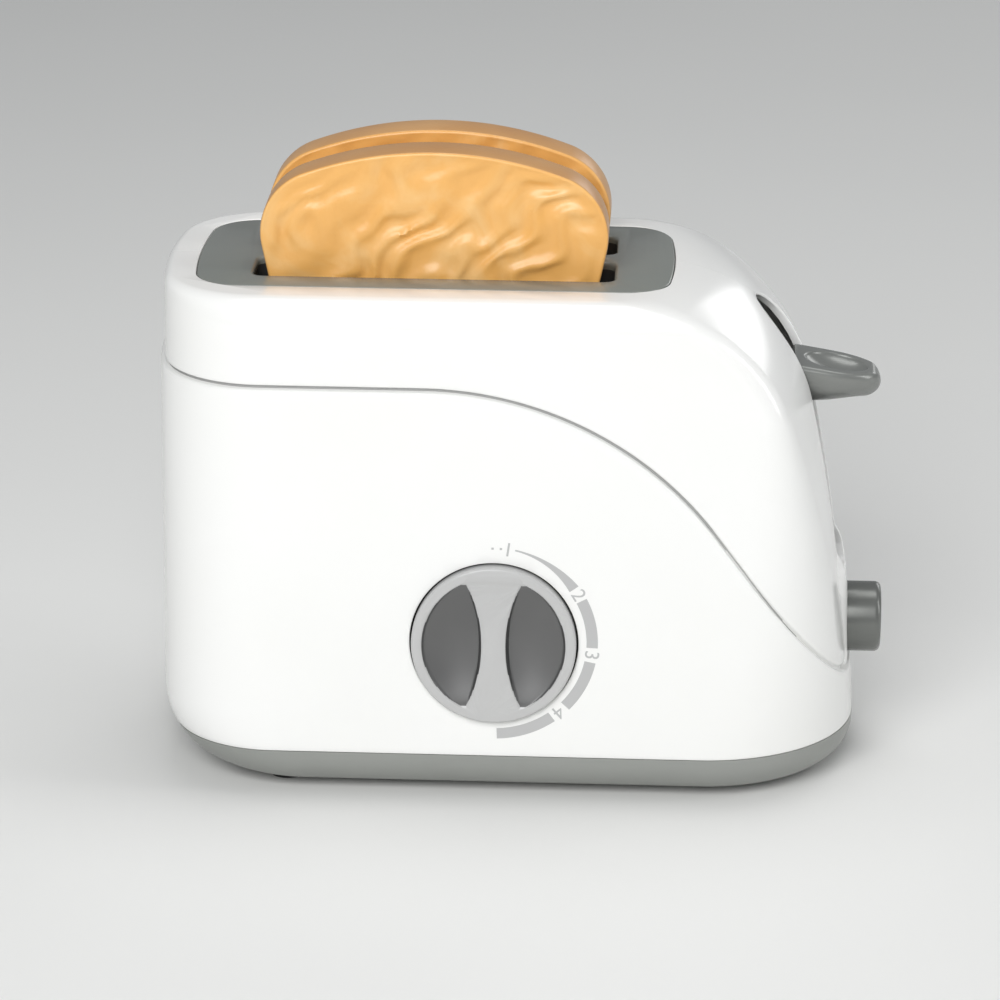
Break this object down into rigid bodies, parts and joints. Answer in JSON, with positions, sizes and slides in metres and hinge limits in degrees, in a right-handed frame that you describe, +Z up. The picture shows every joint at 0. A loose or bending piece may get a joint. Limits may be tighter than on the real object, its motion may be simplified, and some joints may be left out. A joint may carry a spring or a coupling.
{
  "type": "toy pop-up toaster",
  "caption": "Toy pop-up toaster with lift-out bread slices, a spring-loaded lever, a wind-up timer dial and an eject button.",
  "frame": {"origin": "on the surface the toaster stands on, below the middle of the moulded body", "axes": "+X towards the lever end, -Y towards the dial side, +Z up"},
  "size_m": [0.2006, 0.1056, 0.1766],
  "materials": {
    "white_shell": "glossy",
    "grey_plate": "satin",
    "grey_base": "satin",
    "rubber": "matte",
    "steel": "satin",
    "spring_steel": "satin",
    "bell_steel": "polished",
    "brass": "satin",
    "cell_wrap": "glossy",
    "bread": "matte",
    "inner_plastic": "matte",
    "gear_plastic": "matte",
    "dial_grey": "satin",
    "board": "matte",
    "lamp": "glossy"
  },
  "bodies": {
    "housing": {"front_shell": "white_shell", "rear_shell": "white_shell", "top_plate": "grey_plate", "base_tray": "grey_base", "rubber_feet": "rubber", "shell_screws": "steel", "base_screws": "steel", "battery_door": "grey_base", "battery_door_screw": "steel", "batteries": "cell_wrap", "battery_contacts": "spring_steel", "guide_rods": "steel", "lift_spring": "spring_steel", "timer_front_plate": "brass", "timer_rear_plate": "brass", "timer_pillars": "brass", "timer_screws": "steel", "mainspring": "spring_steel", "button_spring": "spring_steel", "latch_pin": "steel", "latch_spring": "spring_steel", "bell_gong": "bell_steel", "bell_post": "brass", "hammer_pin": "steel", "hammer_spring": "spring_steel", "lamp_board": "board", "glow_lamp": "lamp", "lamp_switch": "inner_plastic"},
    "carriage": {"carriage": "inner_plastic", "bread_cradle": "inner_plastic", "lever_knob": "grey_plate"},
    "bread_front": {"bread_front": "bread"},
    "bread_rear": {"bread_rear": "bread"},
    "dial": {"dial_knob": "dial_grey", "dial_arbor": "steel", "main_wheel": "gear_plastic"},
    "second_wheel": {"second_wheel": "gear_plastic"},
    "governor": {"governor_fan": "gear_plastic"},
    "button": {"eject_button": "grey_plate"},
    "latch": {"latch_hook": "inner_plastic"},
    "hammer": {"bell_hammer": "steel"}
  },
  "joints": [
    {"name": "lever_slide", "type": "slide", "parent": "housing", "child": "carriage", "axis": [0, 0, -1], "range_m": [0, 0.046], "stiffness_N_per_m": 60, "springref_m": -0.08, "deforming": ["lift_spring"]},
    {"name": "bread_front_lift", "type": "slide", "parent": "carriage", "child": "bread_front", "axis": [0, 0, 1], "range_m": [0, 0.1]},
    {"name": "bread_rear_lift", "type": "slide", "parent": "carriage", "child": "bread_rear", "axis": [0, 0, 1], "range_m": [0, 0.1]},
    {"name": "dial_turn", "type": "hinge", "parent": "housing", "child": "dial", "pos_m": [-0.0034, 0, 0.0465], "axis": [0, 1, 0], "range_deg": [0, 180], "stiffness_Nm_per_rad": 0.002, "springref_deg": -22.92},
    {"name": "second_wheel_turn", "type": "hinge", "parent": "housing", "child": "second_wheel", "pos_m": [0.01539, 0, 0.05334], "axis": [0, 1, 0], "range_deg": [-540, 0]},
    {"name": "governor_turn", "type": "hinge", "parent": "housing", "child": "governor", "pos_m": [0.02729, 0, 0.03917], "axis": [0, 1, 0], "range_deg": [0, 1458]},
    {"name": "eject_press", "type": "slide", "parent": "housing", "child": "button", "axis": [-1, 0, 0], "range_m": [0, 0.003], "stiffness_N_per_m": 150, "springref_m": -0.004, "deforming": ["button_spring"]},
    {"name": "latch_swing", "type": "hinge", "parent": "housing", "child": "latch", "pos_m": [0.0725, 0, 0.022], "axis": [0, -1, 0], "range_deg": [0, 9]},
    {"name": "hammer_swing", "type": "hinge", "parent": "housing", "child": "hammer", "pos_m": [-0.031, 0, 0.03], "axis": [0, -1, 0], "range_deg": [0, 9.5], "stiffness_Nm_per_rad": 0.002, "springref_deg": -14.32}
  ],
  "couplings": [
    {"joint": "second_wheel_turn", "follows": "dial_turn", "ratio": -3},
    {"joint": "governor_turn", "follows": "dial_turn", "ratio": 8.1},
    {"joint": "latch_swing", "follows": "eject_press", "rad_per_m": 52}
  ]
}
